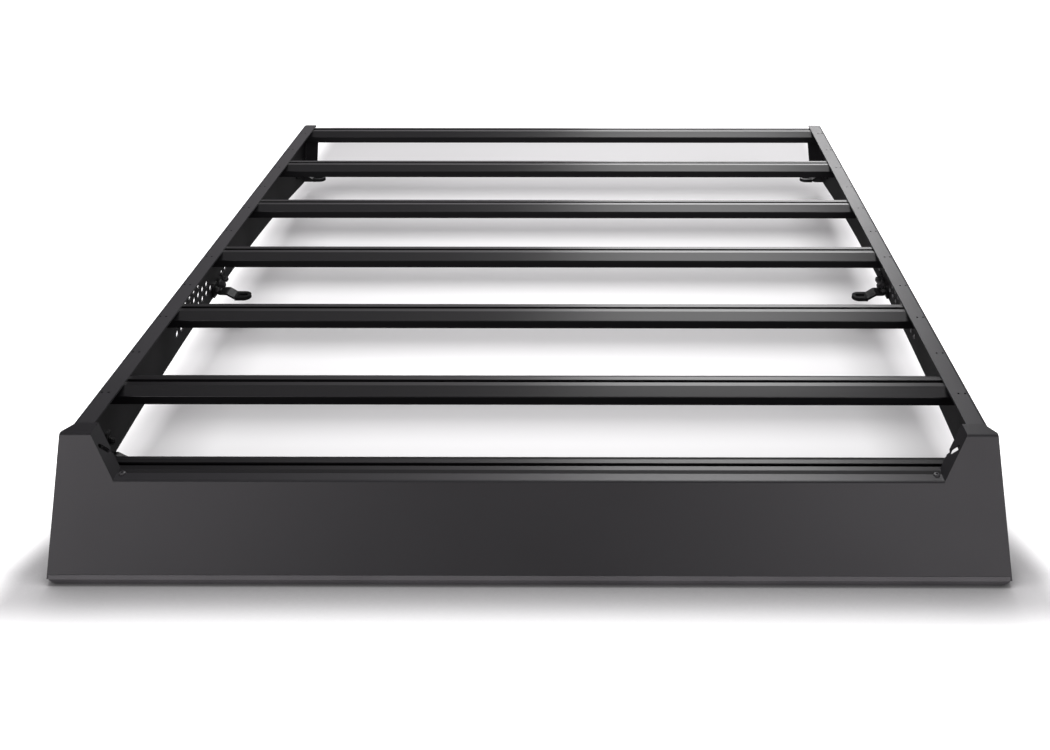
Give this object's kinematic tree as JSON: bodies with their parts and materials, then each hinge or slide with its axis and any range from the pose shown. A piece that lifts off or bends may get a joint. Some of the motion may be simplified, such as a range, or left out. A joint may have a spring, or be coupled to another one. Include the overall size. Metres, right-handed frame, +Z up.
{
  "type": "flat platform roof rack for a pickup cab",
  "caption": "Flat aluminium platform roof rack: bent side rails with honeycomb windows, crowned T-slot crossbars, front wind fairing and slotted feet.",
  "frame": {"origin": "middle of the rack's base box on the floor: midway across, midway between the fairing's front edge and the rails' rear ends, at the height of the fairing's lowest edge", "axes": "+X to the right seen from the front of the vehicle looking back, +Y to the rear of the vehicle, +Z up; the top of the deck is level"},
  "size_m": [1.3162, 1.452, 0.1861],
  "materials": {
    "rail_coat": "fine-texture black powder coat",
    "bar_coat": "satin black powder coat on an extrusion",
    "fairing_coat": "fine-texture black powder coat",
    "foot_coat": "fine-texture black powder coat",
    "trim_rubber": "matt black extruded rubber"
  },
  "bodies": {
    "root": {"left_side_rail": "rail_coat", "right_side_rail": "rail_coat", "crossbar_1": "bar_coat", "crossbar_2": "bar_coat", "crossbar_3": "bar_coat", "crossbar_4": "bar_coat", "crossbar_5": "bar_coat", "crossbar_6": "bar_coat", "crossbar_7": "bar_coat", "wind_fairing": "fairing_coat", "fairing_edge_trim": "trim_rubber", "left_front_foot": "foot_coat", "left_middle_foot": "foot_coat", "left_rear_foot": "foot_coat", "right_front_foot": "foot_coat", "right_middle_foot": "foot_coat", "right_rear_foot": "foot_coat"}
  },
  "joints": []
}
